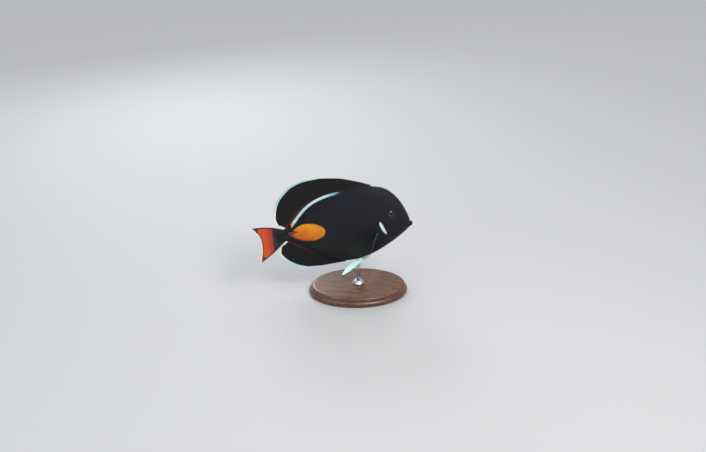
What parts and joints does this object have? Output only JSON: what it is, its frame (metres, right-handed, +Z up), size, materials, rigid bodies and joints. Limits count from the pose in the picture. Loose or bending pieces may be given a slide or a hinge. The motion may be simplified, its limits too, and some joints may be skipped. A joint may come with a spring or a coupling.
{
  "type": "achilles tang fish model on a stand",
  "caption": "Life-size oval reef fish with long dorsal and anal fins, a crescent tail swept to its right and spread side fins, held on an oval wooden stand by one rod.",
  "frame": {"origin": "centre of the stand's underside, on the surface that it rests on", "axes": "+X towards the fish's head, +Y towards its left side, +Z up"},
  "size_m": [0.1986, 0.1062, 0.1585],
  "materials": {
    "skin": "black fine-scaled skin with a satin sheen",
    "fin": "thin black ray membrane with a pale blue edge",
    "tail": "orange-red ray membrane with a black base and a white edge",
    "pelvic": "pale turquoise ray membrane with a dark edge",
    "eye": "wet gloss, dark brown iris with a thin gold ring",
    "spine": "smooth dark horn",
    "wood": "satin-varnished walnut",
    "steel": "brushed"
  },
  "bodies": {
    "root": {"head": "skin", "trunk": "skin", "caudal_peduncle": "skin", "dorsal_fin": "fin", "anal_fin": "fin", "caudal_fin": "tail", "pectoral_fin_left": "fin", "pectoral_fin_right": "fin", "pelvic_fin_left": "pelvic", "pelvic_fin_right": "pelvic", "eye_left": "eye", "eye_right": "eye", "caudal_spine_left": "spine", "caudal_spine_right": "spine", "stand_base": "wood", "stand_collar": "steel", "stand_rod": "steel"}
  },
  "joints": []
}
